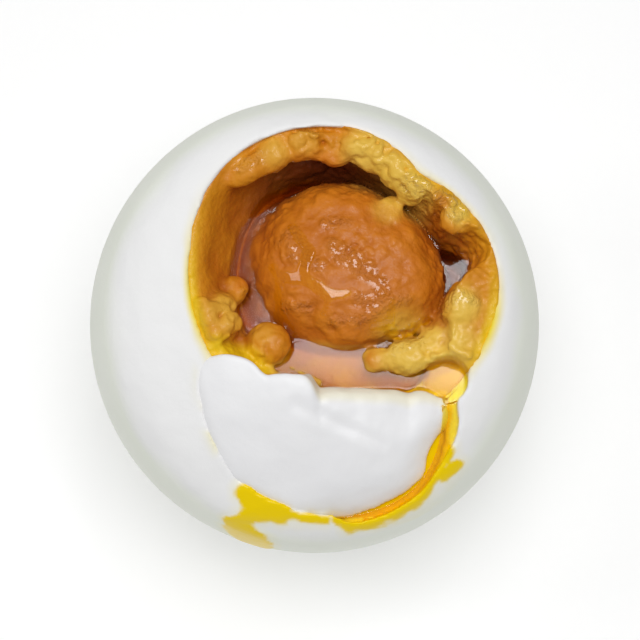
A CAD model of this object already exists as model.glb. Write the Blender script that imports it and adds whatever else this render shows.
# %% [markdown]
# # A salted duck egg, broken open
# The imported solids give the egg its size, its place and what touches what.
# Here each solid gets a finer twin: the smooth white with its torn face, the crumbly yolk,
# the wet middle of the yolk, and the oil that fills every low place.
#
# All shaping is done in millimetres, with the height counted from the foot of the egg.

import math

import bpy
import numpy as np
import openvdb
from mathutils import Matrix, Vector


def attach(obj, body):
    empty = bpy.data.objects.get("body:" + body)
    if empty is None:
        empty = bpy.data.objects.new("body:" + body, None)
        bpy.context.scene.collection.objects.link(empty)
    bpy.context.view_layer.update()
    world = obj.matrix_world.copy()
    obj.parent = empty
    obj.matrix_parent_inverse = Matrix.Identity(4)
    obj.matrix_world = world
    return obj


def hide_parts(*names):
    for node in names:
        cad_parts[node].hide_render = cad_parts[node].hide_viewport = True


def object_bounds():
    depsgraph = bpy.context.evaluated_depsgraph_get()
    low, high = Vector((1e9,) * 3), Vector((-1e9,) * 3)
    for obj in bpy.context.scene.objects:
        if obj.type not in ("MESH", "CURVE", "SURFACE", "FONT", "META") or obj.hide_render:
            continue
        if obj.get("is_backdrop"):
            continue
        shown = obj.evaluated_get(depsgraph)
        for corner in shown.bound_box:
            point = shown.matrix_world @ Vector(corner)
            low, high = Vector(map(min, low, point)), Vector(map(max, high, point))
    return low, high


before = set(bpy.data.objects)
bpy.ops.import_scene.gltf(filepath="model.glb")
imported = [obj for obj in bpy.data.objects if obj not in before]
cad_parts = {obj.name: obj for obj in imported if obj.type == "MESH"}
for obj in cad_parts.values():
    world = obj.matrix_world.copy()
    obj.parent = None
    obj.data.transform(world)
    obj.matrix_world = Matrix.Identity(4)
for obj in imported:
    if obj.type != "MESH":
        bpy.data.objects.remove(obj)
cad_low, cad_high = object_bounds()
MM = 0.001
print("solids:", ", ".join(sorted(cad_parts)))

# %% [markdown]
# ## How soft food is shaped here
# Cooked egg has no flat faces and no sharp corners, and crumbs melt into one another.
# Sculpting it by hand is slow, and a Boolean union leaves a crease at each joint. A distance
# field does it by arithmetic: every point in space gets a number, negative inside the food and
# positive outside. The larger of two fields is what both have in common, the smaller
# is both together, and rounding that choice rounds the seam.

# %% Soft choices between two fields
def smooth(start, end, value):
    """0 before start and 1 after end, with soft ends."""
    share = np.clip((value - start) / (end - start), 0.0, 1.0)
    return share * share * (3 - 2 * share)


def mix(a, b, share):
    """Value a where the share is 0 and value b where it is 1."""
    return a + (b - a) * share


def soft_max(a, b, size):
    """The larger of two values, with the corner between them rounded over a size."""
    share = np.maximum(size - np.abs(a - b), 0.0) / size
    return np.maximum(a, b) + share * share * size / 4


def soft_min(a, b, size):
    """The smaller of two values, with the corner between them rounded over a size."""
    return -soft_max(-a, -b, size)


print("where two surfaces cross, a join softened over 1 mm adds", -soft_min(0, 0, 1), "mm")


# %% [markdown]
# ## Unevenness
# Nothing on the egg is regular. Blender has noise in mathutils for one point at a time, but
# a field has millions, so this noise is worked out for whole arrays. Random numbers sit
# on the corners of a lattice, and each point blends the eight corners round it.

# %% Random values that change smoothly
LATTICE = 64
CORNERS = np.random.default_rng(11).random((LATTICE,) * 3, dtype=np.float32) * 2 - 1


def clouds(x, y, z, size, layer=0):
    """A smooth random value between -1 and 1 that changes over the given size."""
    low, share = [], []
    for axis, shift in zip((x, y, z), (0.37, 5.11, 9.73)):
        place = axis / size + shift + layer * 7.31
        whole = np.floor(place)
        low.append(whole.astype(np.int32))
        part = place - whole
        share.append(part * part * (3 - 2 * part))
    total = 0.0
    for corner in np.ndindex(2, 2, 2):
        weight = 1.0
        for step, part in zip(corner, share):
            weight = weight * (part if step else 1 - part)
        total = total + weight * CORNERS[tuple((a + b) % LATTICE for a, b in zip(low, corner))]
    return total


SAMPLE = np.linspace(0.0, 90.0, 500)
soft_noise = clouds(SAMPLE, SAMPLE, SAMPLE, 3.0)
print(f"cloudy noise runs from {soft_noise.min():.2f} to {soft_noise.max():.2f}")


# %% [markdown]
# Crumbs need another kind of noise. Each cell of the lattice holds one grain at a random place,
# and the distance to the nearest grain is low on its middle and high in the creases between.

# %% Grains and creases
GRAIN_PLACES = np.random.default_rng(12).random((3,) + (LATTICE,) * 3, dtype=np.float32)


def grains(x, y, z, size, layer=0):
    """0 in the middle of a grain, rising to about 1 in the creases between grains."""
    places = [axis / size + layer * 7.31 for axis in (x, y, z)]
    cells = [np.floor(place).astype(np.int32) for place in places]
    nearest = np.full(places[0].shape, 9.0, np.float32)
    for step in np.ndindex(3, 3, 3):
        near = [cell + (one - 1) for cell, one in zip(cells, step)]
        spot = tuple(cell % LATTICE for cell in near)
        parts = zip(near, GRAIN_PLACES, places)
        away = sum((cell + shift[spot] - place) ** 2 for cell, shift, place in parts)
        nearest = np.minimum(nearest, away)
    return nearest


grain_noise = grains(SAMPLE, SAMPLE, SAMPLE, 3.0)
print(f"grain noise runs from {grain_noise.min():.2f} to {grain_noise.max():.2f}")


# %% [markdown]
# ## A box of points
# A field is worked out at evenly spaced points: the closer they are, the finer the detail.
# Many sizes here are maps seen from above, so the box can also lift a map to its heights.

# %% The box in which a field is worked out
class Space:
    """A box of evenly spaced points in which a field is worked out."""

    def __init__(self, low, high, step):
        self.low, self.step = np.array(low, np.float32), step
        counts = [int(round((b - a) / step)) + 1 for a, b in zip(low, high)]
        axes = [a + step * np.arange(n, dtype=np.float32) for a, n in zip(low, counts)]
        self.x, self.y, self.z = np.meshgrid(*axes, indexing="ij", sparse=True)
        self.flat_x, self.flat_y = self.x[:, :, 0], self.y[:, :, 0]
        self.counts = counts
        print(f"a box of {math.prod(counts):,} points, {step} mm apart")

    def over(self, rule):
        """The values of a map over the floor of the box, ready to be held against heights."""
        return rule(self.flat_x, self.flat_y)[:, :, None]

    def near_surface(self, field, reach):
        """The places where a field is close to its surface, and their points."""
        places = np.nonzero(np.abs(field) < reach)
        points = [
            self.low[axis] + self.step * places[axis].astype(np.float32) for axis in range(3)
        ]
        return places, points

    def top_of(self, field):
        """The height of the highest surface over each point of the floor of the box."""
        inside = field < 0
        last = field.shape[2] - 1 - np.argmax(inside[:, :, ::-1], axis=2)
        above = np.minimum(last + 1, field.shape[2] - 1)
        at = np.take_along_axis(field, last[:, :, None], 2)[:, :, 0]
        over = np.take_along_axis(field, above[:, :, None], 2)[:, :, 0]
        height = self.low[2] + self.step * (last + at / np.minimum(at - over, -1e-6))
        return np.where(inside.any(axis=2), height, self.low[2])


# %% [markdown]
# ## From field to mesh
# OpenVDB comes with Blender and turns a field on a grid into a closed mesh with even faces,
# which smooth shading likes. A Remesh modifier does the same for a mesh, but it would
# need the mesh first. Noise can leave specks of food in mid-air, so the small loose parts
# are dropped. The last step checks which way the faces look, by the volume they hold.

# %% Turn a field into an object
FAR_OUTSIDE = 9.0
SPECK_FACES = 300


def signed_volume(points, quads):
    """The volume inside a mesh, negative when its faces look inwards."""
    a, b, c, d = (points[quads[:, corner]] for corner in range(4))
    return float(np.sum(a * np.cross(b, c)) + np.sum(a * np.cross(c, d))) / 6


def without_specks(points, quads):
    """Drops the loose parts of a mesh that have too few faces to be more than a speck."""
    part = np.arange(len(points))  # in the end, the same number on all points of one part
    while True:
        lowest = part[quads].min(axis=1)
        joined = part.copy()
        np.minimum.at(joined, quads.ravel(), np.repeat(lowest, 4))
        joined = joined[joined]
        if np.array_equal(joined, part):
            break
        part = joined
    owner = part[quads[:, 0]]
    quads = quads[np.bincount(owner)[owner] > SPECK_FACES]
    used = np.unique(quads)
    place = np.zeros(len(points), np.int64)
    place[used] = np.arange(len(used))
    return points[used], place[quads]


def body_from(name, space, field):
    """A smooth closed mesh where the field passes through zero."""
    field = np.clip(field, -FAR_OUTSIDE, FAR_OUTSIDE).astype(np.float32)
    for axis in range(3):
        for end in (0, -1):
            np.moveaxis(field, axis, 0)[end] = FAR_OUTSIDE
    grid = openvdb.FloatGrid(FAR_OUTSIDE)
    grid.copyFromArray(np.ascontiguousarray(field))
    points, _, quads = grid.convertToPolygons(isovalue=0.0)
    points, quads = without_specks(points * space.step + space.low, quads)
    if signed_volume(points, quads) < 0:
        quads = quads[:, ::-1]
    mesh = bpy.data.meshes.new(name)
    mesh.from_pydata((points * MM).tolist(), [], quads.tolist())
    mesh.shade_smooth()
    made = bpy.data.objects.new(name, mesh)
    bpy.context.scene.collection.objects.link(made)
    print(f"{name}: {2 * len(quads)} triangles, {abs(signed_volume(points, quads)):.0f} mm3")
    return made


# %% [markdown]
# ## Thinning and painting a mesh
# The grid gives every place the same small faces, also where nobody looks. A Decimate modifier
# with a vertex group merges them there only. A finish needs to know where the food is torn,
# wet or stained. A UV map would need seams for that, and a number on each point needs none.

# %% Thin a mesh and paint numbers on it
def points_of(made):
    """The points of an object in millimetres, as three rows."""
    flat = np.empty(len(made.data.vertices) * 3, np.float32)
    made.data.vertices.foreach_get("co", flat)
    return flat.reshape(-1, 3).T / MM


def lighten(made, hidden, share):
    """Merges faces where they are hidden, until the given share of them is left."""
    group = made.vertex_groups.new(name="hidden")
    group.add(np.nonzero(hidden)[0].tolist(), 1.0, "REPLACE")
    simpler = made.modifiers.new("simpler", "DECIMATE")
    simpler.ratio, simpler.vertex_group = share, "hidden"
    ready = made.evaluated_get(bpy.context.evaluated_depsgraph_get())
    mesh = bpy.data.meshes.new_from_object(ready)
    made.modifiers.clear()
    made.vertex_groups.clear()
    made.data = mesh
    mesh.calc_loop_triangles()
    print(f"{made.name}: {len(mesh.loop_triangles)} triangles are left")


def paint(made, name, values):
    """Stores one number for each point, which a material can read."""
    attribute = made.data.attributes.new(name, "FLOAT", "POINT")
    attribute.data.foreach_set("value", np.clip(values, 0, 1).astype(np.float32))
    print(f"{made.name}: {name} is painted on {int((values > 0.5).sum())} points")


# %% [markdown]
# ## The white of the egg
# The white is an egg-shaped shell whose top was broken off. Its outside is smooth with a faint
# grey-green tinge, and the broken face is whiter and a little uneven. The face slopes: it is
# high at the far side, and falls away at the near side, where a flap of white was prised up.
# The sizes are the solids' own or close to them, so that the twin stays where its solid is.
# The waist is where the egg is widest, and most heights are counted from there.

# %% Sizes of the egg and of its broken face
EGG_RADIUS, EGG_HALF, FOOT_RADIUS = 23.0, 26.5, 7.0
WAIST = EGG_HALF * math.sqrt(1 - (FOOT_RADIUS / EGG_RADIUS) ** 2)
FACE_RISE, FACE_SLOPE, FACE_CROWN = 12.8, 0.25, 3.0
NEAR_FALL, NEAR_START, NEAR_SPAN = 4.6, 6.0, 16.0
SHOULDER = 2.4


def face_height(x, y):
    """The height of the broken face: a slope with a low crown, a near fall and faint waves."""
    crown = FACE_CROWN * (1 - (x * x + y * y) / EGG_RADIUS**2)
    fall = NEAR_FALL * (np.maximum(-y - NEAR_START, 0.0) / NEAR_SPAN) ** 2
    one_level = 0 * x * y
    wave = 0.35 * clouds(x, y, one_level, 6.0, 3)
    return WAIST + FACE_RISE + FACE_SLOPE * y + crown - fall + wave


def egg_outside(x, y, z):
    """The distance from the skin of the whole egg."""
    up = z - WAIST
    reach = np.sqrt((x * x + y * y) / EGG_RADIUS**2 + (up / EGG_HALF) ** 2)
    slope = np.sqrt((x * x + y * y) / EGG_RADIUS**4 + (up / EGG_HALF**2) ** 2)
    return reach * (reach - 1) / np.maximum(slope, 1e-4)


print(f"the waist is {WAIST:.1f} mm up, the broken face {WAIST + FACE_RISE:.1f} mm")


# %% [markdown]
# The yolk is a ball that floated up to the open end while the egg was cured. It isn't quite
# round: a few swells in named directions push it out or in. The band round its edge is firm
# and crumbly, the middle is soft and stands like an island, and between them runs a moat.
# A swell is written as the direction of its middle, half its width, both in degrees,
# and how far it pushes, so each one can be moved without touching the others.

# %% Sizes of the yolk
YOLK_X, YOLK_Y, YOLK_Z = 3.0, 0.7, WAIST + 13.5
YOLK_RADIUS = 15.3
YOLK_SWELLS = ((135, 34, 1.2), (50, 30, -1.9), (54, 10, -0.5))
ISLAND_X, ISLAND_Y, ISLAND_RADIUS, ISLAND_HEIGHT = 3.1, 3.5, 9.4, 5.2
ISLAND_SWELLS = ((50, 34, -1.3), (110, 30, -0.5), (270, 45, -0.6), (-30, 24, 1.3))
BAND_WIDTH = 3.9
BAND_SWELLS = ((97, 34, -1.9), (52, 22, -1.3), (14, 12, -2.6), (-12, 18, 1.4), (-60, 20, -1.8))
OIL_LEVEL = WAIST + 10.0


def with_swells(size, swells, turn):
    """A size that swells or shrinks round the given directions, in degrees."""
    for middle, half, swell in swells:
        off = (np.degrees(turn) - middle + 180) % 360 - 180
        size = size + swell * np.exp(-((off / half) ** 2))
    return size


def yolk_radius(turn):
    """How far the yolk reaches in a direction, seen from above."""
    return with_swells(YOLK_RADIUS, YOLK_SWELLS, turn)


def bank_radius(turn):
    """How far the moat reaches from the middle of the yolk."""
    return yolk_radius(turn) - with_swells(BAND_WIDTH, BAND_SWELLS, turn)


def round_yolk(x, y):
    """The direction and the distance of a place, seen from the middle of the yolk."""
    return np.arctan2(y - YOLK_Y, x - YOLK_X), np.hypot(x - YOLK_X, y - YOLK_Y)


def yolk_ball(x, y, z):
    """The distance from the ball of yolk."""
    turn, away = round_yolk(x, y)
    out = away * YOLK_RADIUS / yolk_radius(turn)
    return np.sqrt(out * out + (z - YOLK_Z) ** 2) - YOLK_RADIUS


for side, turn in (("right", 0), ("far side", 90), ("left", 180), ("near side", 270)):
    print(f"to the {side} the yolk reaches {yolk_radius(math.radians(turn)):.1f} mm")


# %% [markdown]
# The flap is part of a disc of white. Its far edge was torn, so it runs in soft lobes with
# notches between them. Each lobe is a flat-topped bump along the line, and the highest counts:
# its middle, half its width, and how far away it reaches.

# %% Outline of the flap
FLAP_X, FLAP_Y, FLAP_RADIUS = 0.4, -9.3, 12.0
FLAP_SWELLS = ((-35, 32, 1.8),)
FLAP_THICK, FLAP_THIN, FLAP_BULGE = 3.6, 2.2, 1.9
HUB_Y = FLAP_Y - FLAP_RADIUS / 2
TEAR_LOBES = (
    (-8.8, 3.5, -7.2),
    (-3.2, 3.0, -8.8),
    (4.2, 5.6, -11.0),
    (9.6, 3.8, -11.2),
    (11.6, 2.2, -10.8),
)
TEAR_DROP = 1.2


def tear_line(x):
    """How far away the torn edge is, at each place across."""
    line = -99.0
    for middle, half, away in TEAR_LOBES:
        line = soft_max(line, away - TEAR_DROP * ((x - middle) / half) ** 4, 1.2)
    return line


def flap_outline(x, y):
    """The distance from the flap's outline, seen from above."""
    turn = np.arctan2(y - FLAP_Y, x - FLAP_X)
    disc = np.hypot(x - FLAP_X, y - FLAP_Y) - with_swells(FLAP_RADIUS, FLAP_SWELLS, turn)
    return soft_max(disc, (y - tear_line(x)) * 0.8, 0.7)


def flap_rise(x, y):
    """1 at the middle of the flap's disc and 0 from its rim outwards."""
    return np.maximum(1 - ((x - FLAP_X) ** 2 + (y - FLAP_Y) ** 2) / FLAP_RADIUS**2, 0.0)


def flap_top(x, y):
    """The height of the flap's upper side, which bulges and sinks a little at the tear."""
    near_tear = smooth(-2.6, 0.2, y - tear_line(x))
    return face_height(x, y) + FLAP_BULGE * flap_rise(x, y) - 0.15 * near_tear


def flap_bottom(x, y):
    """The height of the flap's lower side, deepest under its middle."""
    return face_height(x, y) - mix(FLAP_THIN, FLAP_THICK, flap_rise(x, y))


middle_of_flap = np.array([FLAP_X]), np.array([FLAP_Y])
thick = flap_top(*middle_of_flap) - flap_bottom(*middle_of_flap)
print(f"in the middle of its disc the flap is {thick[0]:.1f} mm thick")

# %% [markdown]
# Round the rim of its disc the flap has come off. The crack gapes most at the right, where the
# flap was bent up, and is a line at the left. One fixed gap can't say this, so its width
# follows the direction from a hub inside the flap. Oil stands in it, below the broken face.

# %% The crack round the flap
CRACK_LEAST, CRACK_NARROW, CRACK_WIDE = 0.4, 0.5, 1.7
CRACK_FROM, CRACK_OPEN, CRACK_TO, CRACK_CLOSED = np.radians((-84, -60, 22, 34))
WIDEN_FROM, WIDEN_TO = np.radians((-10, 18))


def crack_opening(turn):
    """1 where the crack stands open and 0 where it is closed, by the direction from its hub."""
    return smooth(CRACK_FROM, CRACK_OPEN, turn) * (1 - smooth(CRACK_TO, CRACK_CLOSED, turn))


def crack_width(turn):
    """How far the crack stands open in a direction from its hub."""
    wide = mix(CRACK_NARROW, CRACK_WIDE, smooth(WIDEN_FROM, WIDEN_TO, turn))
    return mix(CRACK_LEAST, wide, crack_opening(turn))


CLOSED_BY, LAPPED_BY = 0.1, 0.85
OIL_DEEP_IN_CRACK, OIL_BELOW_FACE = 0.5, 0.8


def crack_level(x, y):
    """The height of the oil in the crack."""
    return np.minimum(face_height(x, y) - OIL_BELOW_FACE, OIL_LEVEL)


def crack_side(x, y):
    """The distance from the outer side of the crack, negative over the flap and the crack."""
    turn = np.arctan2(y - HUB_Y, x - FLAP_X)
    return flap_outline(x, y) - crack_width(turn) + mix(LAPPED_BY, CLOSED_BY, crack_opening(turn))


def flap_bed(x, y):
    """The floor under the flap, which rises to hold a shallow run of oil in the crack."""
    under = flap_bottom(x, y) - 0.3
    gutter = np.maximum(crack_level(x, y) - OIL_DEEP_IN_CRACK, under)
    return mix(under, gutter, smooth(-0.15, 0.15, flap_outline(x, y)))


widths = [round(float(crack_width(math.radians(turn))), 2) for turn in (-80, -40, 10, 40)]
print("crack width from the near side round to the right, mm:", widths)


# %% [markdown]
# Oil has run out of the crack and stained the white: a fringe along the crack, a short branch
# at the right, and a patch at the lower left that drips over the shoulder. Each stain is
# a few discs along a line, whose size changes on the way, so a stain is as uneven as a real one.
# A disc is written as its place across, its place up the slope seen by the camera, and its size.

# %% Places of the oil stains
SLOPE_Y, SLOPE_Z = math.sin(math.radians(73)), math.cos(math.radians(73))
STAINS = {
    "branch": ((12.9, -14.8, 0.7), (14.2, -13.9, 0.45)),
    "patch": ((-6.7, -16.6, 1.0), (-5.6, -18.1, 1.4), (-3.4, -18.7, 1.0)),
    "drip": ((-6.7, -19.0, 0.9), (-8.3, -19.9, 0.7), (-7.2, -20.9, 1.2), (-5.3, -22.2, 0.9)),
    "thin_line": ((-2.6, -19.0, 0.35), (1.2, -19.4, 0.3)),
}
FRINGE_WIDE = 0.5
FRINGE_FROM, FRINGE_TO = np.radians((-84, -74)), np.radians((-2, 8))


def line_distance(x, y, line):
    """How far a place is from a line of discs, negative inside it."""
    nearest = np.full(np.shape(x), 99.0, np.float32)
    for (ax, ay, a_size), (bx, by, b_size) in zip(line, line[1:]):
        long = (bx - ax) ** 2 + (by - ay) ** 2
        along = np.clip(((x - ax) * (bx - ax) + (y - ay) * (by - ay)) / long, 0, 1)
        away = np.hypot(x - mix(ax, bx, along), y - mix(ay, by, along))
        nearest = soft_min(nearest, away - mix(a_size, b_size, along), 0.3)
    return nearest


def nearest_of(x, y, lines):
    """How far a place is from the nearest of several lines of discs."""
    return np.minimum.reduce([line_distance(x, y, line) for line in lines])


def stained(x, y, z):
    """The distance from the nearest stain, with a ragged edge."""
    slope = y * SLOPE_Y + (z - WAIST) * SLOPE_Z
    ragged = 0.25 * clouds(x, y, z, 1.3, 13) + 0.12 * clouds(x, y, z, 0.5, 14)
    turn = np.arctan2(y - HUB_Y, x - FLAP_X)
    wide = mix(-1.0, FRINGE_WIDE, smooth(*FRINGE_FROM, turn) * (1 - smooth(*FRINGE_TO, turn)))
    fringe = np.maximum(crack_side(x, y) - wide, WAIST + 2 - z)
    return np.minimum(nearest_of(x, slope, STAINS.values()), fringe) + ragged


def stain_share(x, y, z, start, end):
    """1 in a stain and 0 away from it, with an edge from start to end. It has no low stains."""
    return smooth(start, end, stained(x, y, z)) * smooth(WAIST - 14, WAIST - 12, z)


print("stains:", ", ".join(STAINS))


# %% [markdown]
# Where the flap's right corner lifted, the pool has broken through its bank and runs
# into the crack. This spout is one more soft bite out of the white and out of the yolk.

# %% The spout between pool and crack
SPOUT_X, SPOUT_Y, SPOUT_RADIUS = 13.2, -8.9, 2.2
SPOUT_DEEP = 0.7


def spout(x, y, z):
    """The distance from the spout, negative inside it and open to above."""
    side = np.hypot(x - SPOUT_X, y - SPOUT_Y) - SPOUT_RADIUS
    return soft_max(side, OIL_LEVEL - SPOUT_DEEP - z, 0.6)


print("the spout is", 2 * SPOUT_RADIUS, "mm wide")


# %% [markdown]
# ## Carve the white
# The white starts as a whole egg, and what is missing is bitten out of it: the broken top, the
# room of the yolk, the bed under the flap, and the spout. A Boolean modifier could cut it too,
# but with edges like a knife's. So each bite is a soft choice, with the roundness of its lip.

# %% Carve the white
WHITE_STEP = 0.3
white_space = Space((-24, -24, -1.2), (24, 24, 46), WHITE_STEP)
x, y, z = white_space.x, white_space.y, white_space.z
above_face = (z - white_space.over(face_height)) * 0.95
bed = soft_max(white_space.over(crack_side), white_space.over(flap_bed) - z, 0.4)
white_field = soft_max(egg_outside(x, y, z), above_face, SHOULDER)
for bite, lip in ((yolk_ball(x, y, z), 0.35), (bed, 0.45), (spout(x, y, z), 0.5)):
    white_field = soft_max(white_field, -bite, lip)

# %% [markdown]
# Cooked white tears in faint ripples, and oil that lies on it stands a little proud. A bump in
# a material could show both, but it would leave the outline smooth, so they are real shape.
# Only points near the surface count, so the noise is worked out there alone.

# %% Ripple the torn face
RIPPLE_DEEP, WAVE_DEEP, STAIN_THICK = 0.08, 0.16, 0.12
SHARE_KEPT = 0.79
places, (px, py, pz) = white_space.near_surface(white_field, 1.0)
broken = smooth(1.6, 0.2, face_height(px, py) - pz)
ripple = RIPPLE_DEEP * clouds(px, py, pz, 1.6, 1) + WAVE_DEEP * clouds(px, py * 0.4, pz, 3.0, 2)
proud = STAIN_THICK * stain_share(px, py, pz, 0.3, -0.3)
white_field[places] += (broken * ripple - proud).astype(np.float32)
white_field = np.maximum(white_field, -z)
egg_white = body_from("duck_egg_white", white_space, white_field)

px, py, pz = points_of(egg_white)
in_yolk_room = (yolk_ball(px, py, pz) < 0.4) & (pz < OIL_LEVEL - 3)
lighten(egg_white, (pz < WAIST - 6) | in_yolk_room, SHARE_KEPT)

# %% [markdown]
# The torn face is whiter than the skin, oil stains the white yellow with a pale halo, and the
# yolk tints its rim in a few directions. An image could hold this, but the sums know it already.
# Each is painted as a number from 0 to 1, and the finish mixes the colours later.

# %% Mark the white for its finish
TINTS = ((190, 26, 1.0), (-18, 18, 1.0), (40, 26, 0.45))


def tinted(x, y):
    """1 in the directions where the rim round the yolk is yellow, as swells of strength."""
    turn, _ = round_yolk(x, y)
    return np.clip(with_swells(0.0, TINTS, turn), 0, 1)


px, py, pz = points_of(egg_white)
depth = face_height(px, py) - pz + 0.7 * clouds(px, py, pz, 4.0, 17)
paint(egg_white, "broken", smooth(2.4, 0.4, depth))
paint(egg_white, "stain", stain_share(px, py, pz, 0.3, -0.05))
paint(egg_white, "halo", stain_share(px, py, pz, 1.3, 0.0))
reach = 0.7 + 0.9 * (0.5 + 0.5 * clouds(px, py, pz, 2.2, 15))
beside_yolk = smooth(1.0, 0.0, yolk_ball(px, py, pz) / reach)
paint(egg_white, "rim_tint", beside_yolk * tinted(px, py))
groove = np.exp(-((crack_side(px, py) / 0.7) ** 2)) * smooth(-6, -9, px)
groove = groove * smooth(0.1, 0.6, clouds(px, py, pz, 2.4, 16))
paint(egg_white, "groove_tint", groove * smooth(WAIST, WAIST + 2, pz))

# %% [markdown]
# ## Shape the flap
# The flap is a slab of white between two maps, its upper and its lower side. Where it was bent
# up, at the right, its edge is thicker, rounder and turned down. A Bevel modifier gives every
# edge one roundness, so here the roundness is a value that depends on the place.

# %% Shape the flap
FLAP_STEP = 0.2
CREASE = ((-1.7, -12.1, 0.2), (6.7, -15.1, 0.1))
flap_space = Space((-13.5, -23, WAIST - 1), (14.5, -4, WAIST + 18), FLAP_STEP)


def flap_distance(space):
    """The distance from the flap, at every point of a box."""
    x, y, z = space.x, space.y, space.z
    top, bottom, outline = (space.over(rule) for rule in (flap_top, flap_bottom, flap_outline))
    to_right = smooth(-7, 6, x)
    round_edge = mix(0.6, 1.3, smooth(-8, -12, y)) + 2.2 * to_right * smooth(-9, -14, y)
    skirt = 1.1 * smooth(0.3, 3.0, top - z) * smooth(-2.0, 0.0, x)
    outline = outline - skirt * smooth(-3.0, -0.5, y - tear_line(x))
    droop = 0.65 * smooth(-3.4, 0.2, outline) * to_right * smooth(-11, -15, y)
    body = soft_max(outline, (z - top + droop) * 0.9, round_edge)
    return soft_max(body, (bottom - z) * 0.9, 0.6)


flap_field = flap_distance(flap_space)
places, (px, py, pz) = flap_space.near_surface(flap_field, 1.0)
dents = 0.26 * clouds(px, py, pz, 3.6, 4) + 0.04 * clouds(px, py, pz, 1.0, 5)
crease = 0.22 * smooth(1.0, -0.2, line_distance(px, py, CREASE))
flap_field[places] += (dents + crease).astype(np.float32)
white_flap = body_from("prised_white_flap", flap_space, flap_field)
px, py, pz = points_of(white_flap)
paint(white_flap, "torn_edge", smooth(-0.9, 0.1, py - tear_line(px)) * smooth(-2.0, 0.5, px))

# %% [markdown]
# ## Lay out the yolk
# The yolk is three heights in one map: the firm band, the moat and the soft dome. It could be a
# displaced grid, but crumbs overhang, which a grid can't do. So the map becomes a field: the
# height above it, made smaller where the map is steep, to stay close to a true distance.

# %% Lay out the yolk
YOLK_STEP = 0.18
yolk_low = (YOLK_X - 17.5, YOLK_Y - 17, WAIST - 3)
yolk_high = (YOLK_X + 17, YOLK_Y + 17.5, WAIST + 20)
yolk_space = Space(yolk_low, yolk_high, YOLK_STEP)
x, y, z = yolk_space.x, yolk_space.y, yolk_space.z
flat_x, flat_y = yolk_space.flat_x, yolk_space.flat_y


def across_moat(x, y):
    """How far out a place is: 0 in the middle of the yolk and 1 at the bank of the moat."""
    turn, away = round_yolk(x, y)
    return away / bank_radius(turn)


def basin_height(x, y):
    """The height of the band without its crumbs, and of the floor of the moat."""
    turn, _ = round_yolk(x, y)
    across = across_moat(x, y)
    left = np.maximum(-np.cos(turn), 0.0)
    rim = smooth(0.97, mix(1.13, 1.32, left), across)
    band = mix(OIL_LEVEL + 0.6, face_height(x, y) - 0.2, rim)
    floor = OIL_LEVEL - mix(1.8, 5.0, smooth(-6, 0, y)) * mix(0.55, 1.0, smooth(-8, 0, x))
    floor = mix(OIL_LEVEL - 0.5, floor, smooth(-0.3, 2.4, flap_outline(x, y)))
    return mix(floor, band, smooth(0.88, 1.0, across))


def island_height(x, y):
    """The height of the dome in the middle. Its shore is steep, and gentler at the left."""
    turn = np.arctan2(y - ISLAND_Y, x - ISLAND_X)
    away = np.hypot(x - ISLAND_X, y - ISLAND_Y)
    out = away / with_swells(ISLAND_RADIUS, ISLAND_SWELLS, turn)
    gentle = smooth(0.2, 0.9, -np.cos(turn))
    rise = ISLAND_HEIGHT - 0.4 + 0.03 * (y - ISLAND_Y)
    dome = OIL_LEVEL + rise * (1 - np.minimum(out, 1) ** mix(5.5, 4.0, gentle))
    return dome - np.maximum(out - 1, 0) * mix(40, 11, gentle)


base = soft_max(basin_height(flat_x, flat_y), island_height(flat_x, flat_y), 0.8)
slope_x, slope_y = np.gradient(base, YOLK_STEP)
steep = 1 / np.sqrt(1 + slope_x**2 + slope_y**2)
yolk_field = (z - base[:, :, None]) * steep[:, :, None]
yolk_field = soft_max(yolk_field, yolk_ball(x, y, z) - 0.6, 0.3)
print(f"the dome stands {island_height(ISLAND_X, ISLAND_Y) - OIL_LEVEL:.1f} mm out of the oil")

# %% [markdown]
# ## Press on the lumps
# The large crumbs have places of their own. Each is an oval ball pressed on with a soft seam.
# Metaballs would do the same, but can't join the field of the band. A lump is written as its
# place across and away, its height over the oil, its width, depth and height, and its turn.

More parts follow.
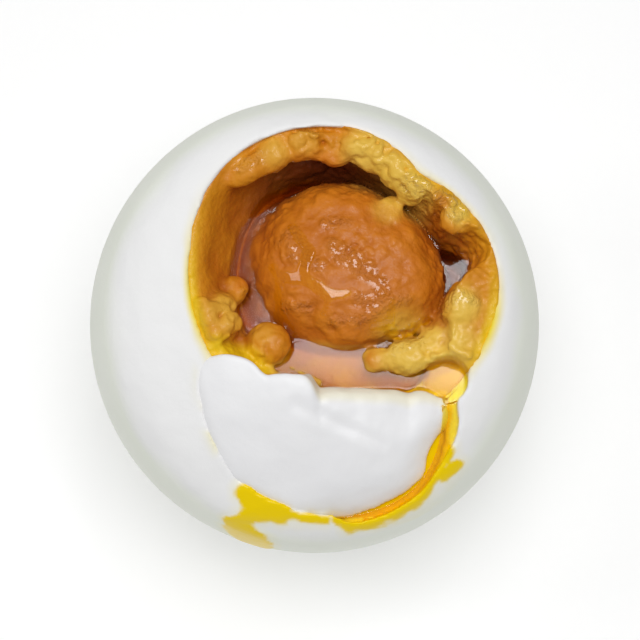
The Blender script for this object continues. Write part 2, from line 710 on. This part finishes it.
# %% Places of the lumps
LUMPS = {
    "upper_left_slab": (-5.9, 12.3, 5.5, 6.6, 3.4, 3.0, 38),
    "slab_right_end": (-4.0, 13.3, 5.9, 3.2, 3.6, 3.2, 20),
    "top_lump": (-1.7, 14.0, 5.8, 3.2, 3.2, 3.2, 15),
    "top_lump_right": (-0.3, 14.2, 5.8, 2.6, 3.2, 3.0, 0),
    "top_right_lump": (2.2, 13.7, 5.2, 4.6, 3.0, 2.8, 0),
    "right_of_top": (5.6, 13.0, 5.4, 3.9, 3.3, 2.9, -20),
    "far_right_lump": (8.0, 11.2, 5.3, 3.4, 3.0, 2.9, -35),
    "far_right_bead": (9.9, 9.6, 4.5, 3.0, 2.7, 2.6, 0),
    "right_ledge": (12.2, 9.6, 3.4, 3.7, 2.2, 2.3, -25),
    "right_bead": (13.9, 6.9, 4.3, 2.3, 2.5, 2.3, 15),
    "island_lump": (7.4, 7.7, 3.2, 2.9, 3.4, 2.6, 0),
    "right_lump": (14.8, -2.0, 2.6, 3.9, 3.2, 3.0, 10),
    "right_lump_low": (13.4, -2.6, 0.6, 2.4, 2.2, 2.2, 0),
    "right_pool_big": (9.5, -6.2, 0.3, 6.6, 3.8, 3.2, 12),
    "right_pool_back": (12.4, -4.6, 0.6, 4.0, 3.2, 3.0, 20),
    "right_pool_rim": (14.0, -5.8, 1.0, 3.4, 3.4, 2.8, 40),
    "right_pool_tip": (6.3, -6.5, 0.0, 2.9, 2.6, 2.3, 0),
    "left_pool_ball": (-4.7, -5.0, 0.5, 4.7, 4.2, 3.8, 0),
    "left_rim_lump": (-9.3, -1.4, 1.8, 3.0, 2.6, 2.2, 0),
    "left_rim_back": (-7.9, 0.6, 0.6, 3.4, 2.8, 2.2, 60),
    "left_rim_front": (-8.8, -4.0, 2.0, 2.8, 2.6, 2.5, 0),
    "pool_clump_left": (-2.4, -7.3, -0.1, 1.6, 0.9, 2.0, -20),
    "pool_clump": (-1.2, -8.0, -0.1, 1.7, 0.8, 1.9, -35),
    "pool_clump_right": (0.0, -8.7, -0.2, 1.4, 0.8, 1.8, -20),
}

# %% Press on the lumps
def press(field, space, place, size, turn, blend):
    """Joins one lump to a field, working only in the small box that the lump fills."""
    reach = max(size) * 0.75 + blend
    window = []
    for axis in range(3):
        first = int((place[axis] - reach - space.low[axis]) / space.step)
        last = int((place[axis] + reach - space.low[axis]) / space.step) + 1
        window.append(slice(max(first, 0), min(last, space.counts[axis])))
    a, b, c = window
    dx, dy, dz = space.x[a] - place[0], space.y[:, b] - place[1], space.z[:, :, c] - place[2]
    along = dx * math.cos(turn) + dy * math.sin(turn)
    side = dy * math.cos(turn) - dx * math.sin(turn)
    half = [s / 2 for s in size]
    away = np.sqrt((along / half[0]) ** 2 + (side / half[1]) ** 2 + (dz / half[2]) ** 2)
    field[a, b, c] = soft_min(field[a, b, c], (away - 1) * min(half), blend)


for lump_x, lump_y, lift, wide, deep, tall, turn in LUMPS.values():
    place = (lump_x, lump_y, OIL_LEVEL + lift)
    press(yolk_field, yolk_space, place, (wide, deep, tall), math.radians(turn), 0.6)
print(len(LUMPS), "lumps are pressed on")

# %% [markdown]
# The small crumbs are too many to place by hand. They are drawn at random on the band, with
# a fixed seed, and each is set on top of what is there. A particle system scatters like this
# too, but its crumbs would stay loose balls. The smooth parts of the band get none.

# %% Scatter the small crumbs
CRUMBS = 190
draw = np.random.default_rng(5)
top_map = yolk_space.top_of(yolk_field)
pressed = 0
for _ in range(CRUMBS):
    mostly = draw.random() < 0.9
    degrees = draw.uniform(-50, 205) if mostly else draw.uniform(182, 206)
    turn = math.radians(degrees)
    share = draw.uniform(0.0, 1.0) ** 0.8
    out = mix(float(bank_radius(turn)) - 0.2, float(yolk_radius(turn)) - 0.9, share)
    crumb_x, crumb_y = YOLK_X + out * math.cos(turn), YOLK_Y + out * math.sin(turn)
    size = 0.6 + 1.4 * draw.random() ** 1.8
    if 110 < math.degrees(turn) < 188 or -30 < math.degrees(turn) < 28:
        continue
    i = int((crumb_x - yolk_space.low[0]) / YOLK_STEP)
    j = int((crumb_y - yolk_space.low[1]) / YOLK_STEP)
    sizes = tuple(size * draw.uniform(0.75, 1.3) for _ in range(3))
    place = (crumb_x, crumb_y, float(top_map[i, j]) + 0.05 * size)
    press(yolk_field, yolk_space, place, sizes, draw.uniform(0, math.pi), 0.45)
    pressed += 1
print(pressed, "small crumbs are pressed on")

# %% [markdown]
# ## Roughen the yolk
# Firm yolk breaks into grains, soft yolk is greasy and only dented, and under a web of wet oil
# it is level. Sculpting could give that, but rules are quicker to change: how firm a place is,
# whether it lies at the smooth left, and how near the next web is.

# %% Where the yolk is firm, and where webs of oil cling to it
WET_LINES = {
    "top_web": ((-2.2, 6.0, 0.4), (-0.5, 3.3, 0.5), (-1.3, 0.9, 0.6)),
    "cross_web": ((-3.1, 0.9, 0.55), (-1.0, 0.7, 0.5), (0.4, -0.4, 0.5))
    + ((1.5, -1.1, 0.55), (3.3, -1.0, 0.25)),
    "side_web": ((-4.3, 2.4, 0.2), (-3.5, 1.0, 0.4), (-3.6, -0.6, 0.3))
    + ((-3.6, -2.0, 0.3), (-2.0, -4.2, 0.4)),
    "short_web": ((1.4, -1.6, 0.25), (0.8, -2.9, 0.2)),
    "front_web": ((7.8, -1.6, 0.2), (7.5, -3.6, 0.4), (5.8, -3.8, 0.3)),
    "shore": ((7.2, -3.8, 0.4), (8.6, -4.2, 0.3), (11.3, -2.5, 0.25)),
}
FIRM_PLACES = ((9.4, -6.0, 4.0), (13.0, -5.0, 3.4), (-4.7, -5.0, 2.5), (-6.8, -0.6, 1.4))


def spot(x, y, spot_x, spot_y, size, edge):
    """1 in the middle of a round spot and 0 outside it. A larger edge falls more sharply."""
    return np.exp(-((((x - spot_x) ** 2 + (y - spot_y) ** 2) / size**2) ** edge))


def firmness(x, y):
    """1 on the crumbly band and on the lumps that fell into the pool, 0 on the soft island."""
    spots = [spot(x, y, *place, 3) for place in FIRM_PLACES]
    return np.maximum.reduce([smooth(0.86, 1.0, across_moat(x, y)), *spots])


print(len(WET_LINES), "webs of oil and", len(FIRM_PLACES), "firm places")

# %% [markdown]
# Grain noise on its own looks like a net, because its creases are straight. Bending the places
# by cloudy noise first makes the creases wander. Large and small grains are added together.

# %% Roughen the yolk
places, (px, py, pz) = yolk_space.near_surface(yolk_field, 1.2)
bent_x = px + 0.4 * clouds(px, py, pz, 0.9, 11)
bent_y = py + 0.4 * clouds(px, py, pz, 0.9, 12)


def creases(size, layer):
    """Grain noise on the bent places, with its middle near 0."""
    return grains(bent_x, bent_y, pz, size, layer) - 0.3


turn, _ = round_yolk(px, py)
smooth_left = smooth(-0.2, -0.8, np.cos(turn)) * smooth(-0.5, 0.1, np.sin(turn))
crumbly = 0.32 * creases(1.7, 1) + 0.24 * creases(0.85, 2)
crumbly = crumbly + 0.16 * clouds(px, py, pz, 0.5, 20)
crumbly = crumbly * (1 - 0.75 * smooth_left) * mix(0.75, 1.0, smooth(-4, 1, py))
crumbly = crumbly + 0.3 * clouds(px, py, pz, 2.6, 6)

rough_here = smooth(-0.3, 0.4, clouds(px, py, pz, 2.0, 19))
soft = 0.36 * clouds(px, py, pz, 3.2, 8) + 0.34 * creases(2.8, 3)
soft = soft + 0.16 * clouds(px, py, pz, 1.0, 9)
soft = soft + (0.04 + 0.14 * rough_here) * clouds(px, py, pz, 0.45, 10)
soft = soft * mix(0.15, 1.0, smooth(0.1, 0.9, nearest_of(px, py, WET_LINES.values())))
yolk_field[places] += mix(soft, crumbly, firmness(px, py)).astype(np.float32)
print(f"{len(px):,} points near the surface of the yolk are moved")

# %% [markdown]
# Crumbs and noise have pushed the yolk past its ball in places. It is trimmed last, so that it
# never pokes through the white, and the flap, the crack and the spout keep their room.
# Faces deep under the oil or against the white are then merged.

# %% Trim the yolk
YOLK_SHARE_KEPT = 0.62
flap_here = flap_distance(yolk_space)
crack_wall, crack_floor = yolk_space.over(crack_side), yolk_space.over(flap_bed)
beside_crack = soft_max(crack_wall + 0.05, crack_floor - z, 0.4)
yolk_field = soft_max(yolk_field, yolk_ball(x, y, z) - 0.2, 0.2)
for bite, lip in ((spout(x, y, z), 0.5), (flap_here - 0.1, 0.2), (beside_crack, 0.2)):
    yolk_field = soft_max(yolk_field, -bite, lip)
yolk_top = yolk_space.top_of(yolk_field)
yolk = body_from("crumbly_yolk", yolk_space, yolk_field)

px, py, pz = points_of(yolk)
against_white = (yolk_ball(px, py, pz) > -0.7) & (pz < face_height(px, py) - 1.5)
lighten(yolk, against_white | (pz < OIL_LEVEL - 2.5), YOLK_SHARE_KEPT)

# %% [markdown]
# ## Mark the yolk for its finish
# Yolk is pale on peaks and dark in creases. Cycles can tell them apart by Pointiness, but only
# at once round a point, and the export would lose it. So the map of heights is blurred,
# and the difference says how far a point stands out of the ground round it.

# %% Blur a map and read it
def blurred(values, sigma):
    """A map blurred over a size given in steps of its grid."""
    reach = int(3 * sigma)
    kernel = np.exp(-0.5 * (np.arange(-reach, reach + 1) / sigma) ** 2)
    kernel /= kernel.sum()
    for axis in (0, 1):
        widths = [(reach, reach) if a == axis else (0, 0) for a in (0, 1)]
        padded = np.pad(values, widths, mode="edge")
        span = values.shape[axis]
        shifted = (np.take(padded, np.arange(n, n + span), axis=axis) for n in range(len(kernel)))
        values = sum(weight * part for weight, part in zip(kernel, shifted))
    return values


def read_map(values, space, x, y):
    """The value of a map at places in millimetres."""
    i = np.clip((x - space.low[0]) / space.step, 0, space.counts[0] - 1.001)
    j = np.clip((y - space.low[1]) / space.step, 0, space.counts[1] - 1.001)
    a, b = i.astype(np.int32), j.astype(np.int32)
    i, j = i - a, j - b
    near_row = mix(values[a, b], values[a + 1, b], i)
    far_row = mix(values[a, b + 1], values[a + 1, b + 1], i)
    return mix(near_row, far_row, j)


PEAK_HIGH = 0.9
px, py, pz = points_of(yolk)
ground = read_map(blurred(yolk_top, PEAK_HIGH / YOLK_STEP), yolk_space, px, py)
paint(yolk, "firm", firmness(px, py))
paint(yolk, "peak", 0.5 + (pz - ground) / PEAK_HIGH)

# %% [markdown]
# Some lumps are paler and yellower than the rest, fine wet dots glint along a few lines, and
# the yolk is dark where it stays wet. All of these have places, and a soft spot or line is
# enough for each. A pale place is written as across, away, size and strength.

# %% Mark the pale and the glinting places
PALE_PLACES = (
    (5.4, 13.0, 2.7, 0.9),
    (8.2, 10.6, 2.0, 1.0),
    (10.2, 8.9, 1.8, 1.0),
    (14.3, 7.0, 1.3, 1.0),
    (14.8, -2.0, 1.9, 0.9),
    (9.8, -6.2, 3.8, 1.0),
    (14.0, -6.0, 2.6, 0.9),
    (7.3, 7.8, 1.6, 0.6),
    (-8.9, -2.6, 2.2, 0.5),
    (-5.3, -4.2, 1.4, 0.2),
    (-4.0, 13.2, 1.6, 0.4),
    (-1.0, 14.2, 1.4, 0.3),
)
SPECKLES = (
    ((-3.6, 4.6, 0.3), (-2.2, 5.4, 0.6), (-1.6, 3.4, 0.9), (0.6, 1.6, 0.4)),
    ((1.2, 6.3, 0.4), (3.2, 6.3, 0.4)),
    ((1.6, 4.2, 0.4), (3.0, 2.8, 0.9), (5.0, 1.4, 0.8), (6.6, 0.0, 0.6), (6.9, -1.2, 0.7)),
    ((4.4, -1.4, 0.5), (6.6, -1.8, 0.6), (9.0, -1.2, 0.4)),
    ((1.8, -3.4, 0.3), (4.2, -3.3, 0.4), (6.2, -2.6, 0.3)),
    ((-3.0, -1.6, 0.3), (-0.6, -2.0, 0.4)),
    ((-6.8, 0.4, 0.5), (-6.4, 1.4, 0.2)),
    ((8.0, -5.8, 0.5), (10.4, -5.0, 0.6)),
    ((12.8, -2.4, 0.3), (14.0, -1.0, 0.5), (16.0, -1.6, 0.4)),
    ((-7.4, 11.6, 0.5), (-5.6, 12.6, 0.6)),
    ((9.6, 9.8, 0.9), (14.2, 7.2, 0.9)),
)
paint(yolk, "speckle", smooth(0.5, -0.3, nearest_of(px, py, SPECKLES)))
pale = sum(strong * spot(px, py, a, b, size, 2) for a, b, size, strong in PALE_PLACES)
low = smooth(OIL_LEVEL + 1.2, OIL_LEVEL + 0.2, pz)
beside_flap = smooth(1.8, 0.3, flap_outline(px, py)) * low * smooth(-4.5, -2.5, px)
front_floor = 0.9 * smooth(-4, -6, py) * low
paint(yolk, "pale", np.maximum.reduce([pale, beside_flap, front_floor]))

# %% [markdown]
# In the moat and under the far bank little light arrives, and wet yolk there is deep red-brown.
# Light and shadow do most of it, and the mark adds the colour. The rim by the white is yellow.

# %% Mark the deep and the yellow places
turn, _ = round_yolk(px, py)
across = across_moat(px, py)
in_moat = (1 - smooth(0.86, 1.0, across)) * smooth(OIL_LEVEL + 1.5, OIL_LEVEL - 0.5, pz)
deep = np.maximum(smooth(OIL_LEVEL - 0.6, OIL_LEVEL - 2.6, pz), in_moat)
deep = deep * mix(0.2, 1.0, smooth(-3, 4, py)) * mix(0.3, 1.0, smooth(-7, -2, px))
under_bank = np.exp(-(((np.degrees(turn) - 95) / 45) ** 2)) * smooth(1.10, 1.0, across)
under_bank = under_bank * smooth(OIL_LEVEL + 3.5, OIL_LEVEL + 1.0, pz) * smooth(0.8, 0.95, across)
paint(yolk, "deep", np.maximum(deep, under_bank))
rim_glow = smooth(-1.3, -0.2, yolk_ball(px, py, pz)) * tinted(px, py)
left_of_flap = smooth(2.2, 0.8, flap_outline(px, py)) * smooth(-3.5, -5.0, px)
paint(yolk, "rim_glow", np.maximum(rim_glow, left_of_flap))

# %% [markdown]
# ## Pour the oil
# Oil fills the moat up to one level, and clings to the dome in thin webs. A flat sheet would
# look the same deep or shallow, so the oil is a closed body that light has to cross: its top is
# the level or the film, whichever is higher, and its bottom hides inside the yolk.

# %% Pour the oil
FILM_DEPTH, NO_FILM = 0.32, -6.0
film = blurred(yolk_top, 0.4 / YOLK_STEP)
ragged = 0.16 * clouds(flat_x, flat_y, 0 * flat_x, 0.7, 18)
beside_web = nearest_of(flat_x, flat_y, WET_LINES.values()) + ragged
film_top = film + mix(NO_FILM, FILM_DEPTH, smooth(0.5, 0.1, beside_web))
oil_top = soft_max(OIL_LEVEL, film_top, 0.1)
turn, away = round_yolk(flat_x, flat_y)
past_rim = (away - yolk_radius(turn) + 0.3)[:, :, None]
spout_here = spout(x, y, z)
oil_field = np.maximum(z - oil_top[:, :, None], yolk_top[:, :, None] - 0.9 - z)
past_crack = np.minimum(-beside_crack, spout_here - 0.1)
limits = (np.minimum(past_rim, spout_here), 0.02 - flap_here, past_crack, OIL_LEVEL - 6 - z)
for limit in limits:
    oil_field = np.maximum(oil_field, limit)
oil = body_from("yolk_oil", yolk_space, oil_field)

# %% [markdown]
# The oil in the crack is yellower and runs down the slope with the crack, so it is a body of its
# own, between the outer side of the crack and the flap's outline. It ends where the crack closes.

# %% Fill the crack with oil
CRACK_STEP = 0.18
crack_space = Space((-13.5, -23.6, WAIST - 1), (17, -4, WAIST + 14), CRACK_STEP)
x, y, z = crack_space.x, crack_space.y, crack_space.z
flat_x, flat_y = crack_space.flat_x, crack_space.flat_y
turn = np.arctan2(flat_y - HUB_Y, flat_x - FLAP_X)
channel = np.maximum(crack_side(flat_x, flat_y) - 0.15, -flap_outline(flat_x, flat_y) - 0.5)
closed_part = (crack_opening(turn) - 0.3) * -2.0
level = crack_space.over(crack_level)
crack_field = np.maximum(channel, closed_part)[:, :, None]
off_flap, off_spout = 0.02 - flap_distance(crack_space), -spout(x, y, z)
for limit in (z - level, level - OIL_DEEP_IN_CRACK - 0.3 - z, off_flap, off_spout):
    crack_field = np.maximum(crack_field, limit)
crack_oil = body_from("oil_in_crack", crack_space, crack_field)

# %% [markdown]
# ## Finishes
# A material is a chain of nodes, and its sums are easier to read when they are written as sums.
# The class below wraps a socket, so that plus, minus and times add the Math nodes.

# %% Shader maths
class Wire:
    """A socket of a material, which can be used in ordinary maths."""

    def __init__(self, tree, socket=None):
        self.tree, self.socket = tree, socket

    def node(self, kind, settings, inputs, output=0):
        """Adds a node: first its settings, then the values or wires of its sockets."""
        made = self.tree.nodes.new(kind)
        for name, value in settings.items():
            setattr(made, name, value)
        for name, value in inputs.items():
            if isinstance(value, Wire):
                self.tree.links.new(value.socket, made.inputs[name])
            else:
                made.inputs[name].default_value = value
        return Wire(self.tree, made.outputs[output])

    def maths(self, operation, a, b):
        """Adds one Math node, for the operators below."""
        return self.node("ShaderNodeMath", {"operation": operation}, {0: a, 1: b})

    def __add__(self, other):
        return self.maths("ADD", self, other)

    def __sub__(self, other):
        return self.maths("SUBTRACT", self, other)

    def __rsub__(self, other):
        return self.maths("SUBTRACT", other, self)

    def __mul__(self, other):
        return self.maths("MULTIPLY", self, other)

    __radd__ = __add__
    __rmul__ = __mul__


def rgb(red, green, blue):
    """A colour given from 0 to 255 as a screen shows it, made linear for the renderer."""
    parts = (red / 255, green / 255, blue / 255)
    linear = [c / 12.92 if c <= 0.04045 else ((c + 0.055) / 1.055) ** 2.4 for c in parts]
    return (*linear, 1.0)


def start_finish(made, name, **fixed):
    """A new material on an object: its wire for adding nodes, and its shader."""
    material = bpy.data.materials.new(name)
    material.use_nodes = True
    made.data.materials.append(material)
    shader = material.node_tree.nodes["Principled BSDF"]
    for key, value in fixed.items():
        shader.inputs[key.replace("_", " ")].default_value = value
    return Wire(material.node_tree), shader


def feed(wire, shader, **values):
    """Joins wires to the shader's sockets, once the whole finish is mixed."""
    for key, value in values.items():
        wire.tree.links.new(value.socket, shader.inputs[key.replace("_", " ")])
    print("this finish has", len(wire.tree.nodes), "nodes")


def mark(wire, name):
    """A number that was painted on the points of the mesh."""
    return wire.node("ShaderNodeAttribute", {"attribute_name": name}, {}, output=2)


def noise(wire, size, detail=2.0):
    """Cloudy noise between 0 and 1 that changes over a size in millimetres."""
    place = wire.node("ShaderNodeTexCoord", {}, {}, output=3)
    inputs = {"Vector": place, "Scale": 1 / (size * MM), "Detail": detail}
    return wire.node("ShaderNodeTexNoise", {}, inputs)


def blend(wire, share, a, b):
    """Colour a where the share is 0 and colour b where it is 1."""
    settings = {"data_type": "RGBA", "clamp_factor": True}
    return wire.node("ShaderNodeMix", settings, {0: share, 6: a, 7: b}, output=2)


def bump(wire, height, depth):
    """A bump whose height is given in millimetres."""
    return wire.node("ShaderNodeBump", {}, {"Height": height, "Distance": depth * MM, "Strength": 1.0})


# %% [markdown]
# ## The finish of the white
# Cooked white is dull and very slightly green at the skin. Subsurface scattering would suit it,
# but it is slow and blurs fine edges, so a broad light and a weak shine stand in for it.
# Each painted mark mixes in one colour. The oil is last, as it lies on top and is shiny.

# %% Cooked white
OIL_YELLOW = rgb(242, 208, 2)
wire, shader = start_finish(egg_white, "cooked_white", Specular_IOR_Level=0.12, Coat_Roughness=0.12)
stain = mark(wire, "stain")
colour = blend(wire, noise(wire, 5.0, 3.0), rgb(237, 241, 228), rgb(243, 245, 236))
for mask, tone in (
    (mark(wire, "broken"), rgb(239, 239, 239)),
    (mark(wire, "halo") * 0.35, rgb(245, 238, 190)),
    (mark(wire, "rim_tint"), rgb(236, 214, 60)),
    (mark(wire, "groove_tint") * 0.5, rgb(238, 228, 150)),
    (stain, OIL_YELLOW),
):
    colour = blend(wire, mask, colour, tone)
dimples = bump(wire, noise(wire, 0.8, 3.0), 0.05)
rough, coat = 0.5 - stain * 0.2, stain * 0.1
feed(wire, shader, Base_Color=colour, Roughness=rough, Coat_Weight=coat, Normal=dimples)

# %% [markdown]
# The flap shows the inside of the white, which is cleaner and a little glossier than the skin.
# Only its torn edge has taken up some yellow from the oil.

# %% Torn white of the flap
wire, shader = start_finish(white_flap, "torn_white", Specular_IOR_Level=0.4)
mottle = noise(wire, 4.0, 2.0)
colour = blend(wire, mottle, rgb(238, 238, 240), rgb(244, 244, 245))
colour = blend(wire, mark(wire, "torn_edge") * 0.5, colour, rgb(240, 232, 190))
dimples = bump(wire, noise(wire, 0.8, 3.0), 0.04)
feed(wire, shader, Base_Color=colour, Roughness=0.42 + mottle * 0.12, Normal=dimples)

# %% [markdown]
# ## The finish of the yolk
# Salting turns yolk deep orange and draws out its oil. The colours go on in the order in which
# they lie: soft or firm yolk, pale crumbs, dark creases, the dark of the moat, the yellow rim.
# A thin clear coat makes it greasy, and is strongest on the wet dots.

# %% Salted yolk
wire, shader = start_finish(yolk, "salted_yolk", Coat_Roughness=0.05, Specular_IOR_Level=0.35)
peak, pale, speckle = mark(wire, "peak"), mark(wire, "pale"), mark(wire, "speckle")
patches = noise(wire, 3.0, 3.0)
fine = noise(wire, 0.45, 3.0)
soft_yolk = blend(wire, patches, rgb(196, 106, 14), rgb(222, 136, 30))
amber = blend(wire, patches, rgb(196, 112, 10), rgb(226, 156, 30))
yellow = blend(wire, patches, rgb(220, 168, 40), rgb(240, 204, 92))
crease = (1 - peak) * 0.75 + (fine - 0.5) * 0.4 - pale * 0.35
colour = soft_yolk
for mask, tone in (
    (mark(wire, "firm"), amber),
    (pale, yellow),
    (crease, rgb(164, 80, 8)),
    (mark(wire, "deep"), rgb(118, 50, 14)),
    (mark(wire, "rim_glow") * 0.8, rgb(236, 198, 14)),
):
    colour = blend(wire, mask, colour, tone)
stops = {"Value": noise(wire, 0.32, 1.0), "From Min": 0.42, "From Max": 0.5}
dots = wire.node("ShaderNodeMapRange", {}, stops)
rough, coat = 0.42 + fine * 0.16, 0.06 + pale * 0.15 + speckle * dots
dimples = bump(wire, fine * (0.5 + speckle * 1.5), 0.2)
feed(wire, shader, Base_Color=colour, Roughness=rough, Coat_Weight=coat, Normal=dimples)

# %% [markdown]
# ## The finish of the oil
# Glass would bend the light and cast dark shadows on the yolk. Oil this thin looks the same
# as clear with a mirror on top, which renders faster. Fresnel says how much it mirrors, and
# only where it looks up, so that hidden sides stay clear. The colour is in the volume:
# blue is swallowed at once and green slowly, so a film is yellow and a deep pool is orange.

# %% Oil
OIL_BENDING, MIRROR_BLUR = 1.47, 0.07
OIL_DENSITY = 3200.0


def oil_finish(made, name, green):
    """Clear oil: it lets light through, mirrors a little, and swallows blue, then green."""
    wire, shader = start_finish(made, name)
    tree = wire.tree
    tree.nodes.remove(shader)
    white = (1, 1, 1, 1)
    clear = wire.node("ShaderNodeBsdfTransparent", {}, {"Color": white})
    look = {"Color": white, "Roughness": MIRROR_BLUR}
    mirror = wire.node("ShaderNodeBsdfAnisotropic", {}, look)
    gloss = wire.node("ShaderNodeFresnel", {}, {"IOR": OIL_BENDING})
    normal = wire.node("ShaderNodeNewGeometry", {}, {}, output=1)
    rise = wire.node("ShaderNodeSeparateXYZ", {}, {"Vector": normal}, output=2)
    stops = {"Value": rise, "From Min": 0.3, "From Max": 0.6}
    up = wire.node("ShaderNodeMapRange", {"clamp": True}, stops)
    surface = wire.node("ShaderNodeMixShader", {}, {0: gloss * up, 1: clear, 2: mirror})
    body = {"Color": (0.993, green, 0.0, 1), "Density": OIL_DENSITY}
    volume = wire.node("ShaderNodeVolumeAbsorption", {}, body)
    output = tree.nodes["Material Output"]
    tree.links.new(surface.socket, output.inputs["Surface"])
    tree.links.new(volume.socket, output.inputs["Volume"])
    print(f"{name} keeps {green:.3f} of the green")


oil_finish(oil, "pool_oil", 0.955)
oil_finish(crack_oil, "crack_oil", 0.90)

# %% [markdown]
# ## Hand the pieces to the frame
# The solids carry the physics, and these pieces are what is seen. Each is told which body it
# rides on, which solid it stands in for, and which finish slot it fills.

# %% Hand the pieces to the frame
for made, node in (
    (egg_white, "egg_white"),
    (white_flap, "white_flap"),
    (yolk, "yolk"),
    (oil, "oil"),
    (crack_oil, "crack_oil"),
):
    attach(made, "root")
    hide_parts(node)
    print(made.name, "stands in for", node)

# %% [markdown]
# ## Floor
# The egg stands on plain white. A floor lit only by lamps comes out grey, and stronger lamps
# would burn out the egg. So the floor glows a little, which keeps it pale and its shadow soft.

# %% Floor
FLOOR_GREY, FLOOR_GLOW, FLOOR_HALF = 0.72, 0.34, 2
corners = [(a * FLOOR_HALF, b * FLOOR_HALF, 0) for a, b in ((-1, -1), (1, -1), (1, 1), (-1, 1))]
floor_mesh = bpy.data.meshes.new("floor")
floor_mesh.from_pydata(corners, [], [(0, 1, 2, 3)])
floor = bpy.data.objects.new("floor", floor_mesh)
bpy.context.scene.collection.objects.link(floor)
start_finish(
    floor,
    "pale_floor",
    Base_Color=(FLOOR_GREY, FLOOR_GREY, FLOOR_GREY, 1),
    Roughness=0.9,
    Specular_IOR_Level=0.0,
    Emission_Color=(1, 1, 1, 1),
    Emission_Strength=FLOOR_GLOW,
)
floor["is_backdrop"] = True
print("the floor is", 2 * FLOOR_HALF, "m wide")

# %% [markdown]
# ## Light
# The large softbox overhead gives the broad light, the one at the left adds glints to the wet
# webs, and the small one behind is mirrored in the pool: a still surface shows only
# what stands opposite the viewer. A pale sky fills in the rest.

# %% Light
SKY_STRENGTH = 0.23
CENTRE = Vector((0, 0, WAIST * MM))


def aim(made, place, target):
    """Puts an object at a place and turns its front to a target."""
    made.location = place
    made.rotation_mode = "QUATERNION"
    made.rotation_quaternion = (target - place).to_track_quat("-Z", "Y")


def add_softbox(name, place, wide, deep, watts):
    """A lamp with a soft rectangular face, aimed at the egg."""
    light = bpy.data.lights.new(name, "AREA")
    light.shape = "RECTANGLE"
    light.size, light.size_y, light.energy = wide, deep, watts
    made = bpy.data.objects.new(name, light)
    bpy.context.scene.collection.objects.link(made)
    aim(made, Vector(place), CENTRE)
    print(f"{name}: {wide} by {deep} m, {watts} W")


world = bpy.data.worlds.new("studio")
world.use_nodes = True
sky = world.node_tree.nodes["Background"].inputs
sky["Color"].default_value = (1, 1, 1, 1)
sky["Strength"].default_value = SKY_STRENGTH
bpy.context.scene.world = world
add_softbox("overhead_softbox", (0.02, -0.05, 0.565), 0.30, 0.30, 2.0)
add_softbox("left_softbox", (-0.33, 0.02, 0.34), 0.13, 0.13, 0.2)
add_softbox("back_softbox", (0.016, 0.134, 0.435), 0.050, 0.052, 0.062)

# %% [markdown]
# ## Camera
# The egg is seen from almost straight above. A long lens from some way off keeps its outline
# round, and its length follows from the distance and from how wide the picture is at the egg.
# The target is moved a little, to set the egg where it should be in the frame.

# %% Camera
ELEVATION = math.radians(73)
DISTANCE, FRAME_WIDTH = 0.42, 0.0657
MOVE_RIGHT, MOVE_UP = 0.000565, 0.000667
lens = bpy.data.cameras.new("camera")
lens.lens = lens.sensor_width * DISTANCE / FRAME_WIDTH
lens.clip_start, lens.clip_end = 0.01, 10
camera = bpy.data.objects.new("camera", lens)
bpy.context.scene.collection.objects.link(camera)
look = Vector((0, -math.cos(ELEVATION), math.sin(ELEVATION)))
up = Vector((0, math.sin(ELEVATION), math.cos(ELEVATION)))
target = CENTRE + Vector((MOVE_RIGHT, 0, 0)) + up * MOVE_UP
aim(camera, target + look * DISTANCE, target)
bpy.context.scene.camera = camera
bpy.context.scene.view_settings.view_transform = "Standard"
print(f"the lens is {lens.lens:.0f} mm long")

# %% [markdown]
# ## Measure and finish
# The pieces may not outgrow their solids, so their box is held against the box from the start.

# %% Measure and finish
visual_low, visual_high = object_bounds()
for end, cad, visual in (("top", cad_high, visual_high), ("foot", cad_low, visual_low)):
    print(f"{end} corner moved by mm", [round((b - a) / MM, 2) for a, b in zip(cad, visual)])
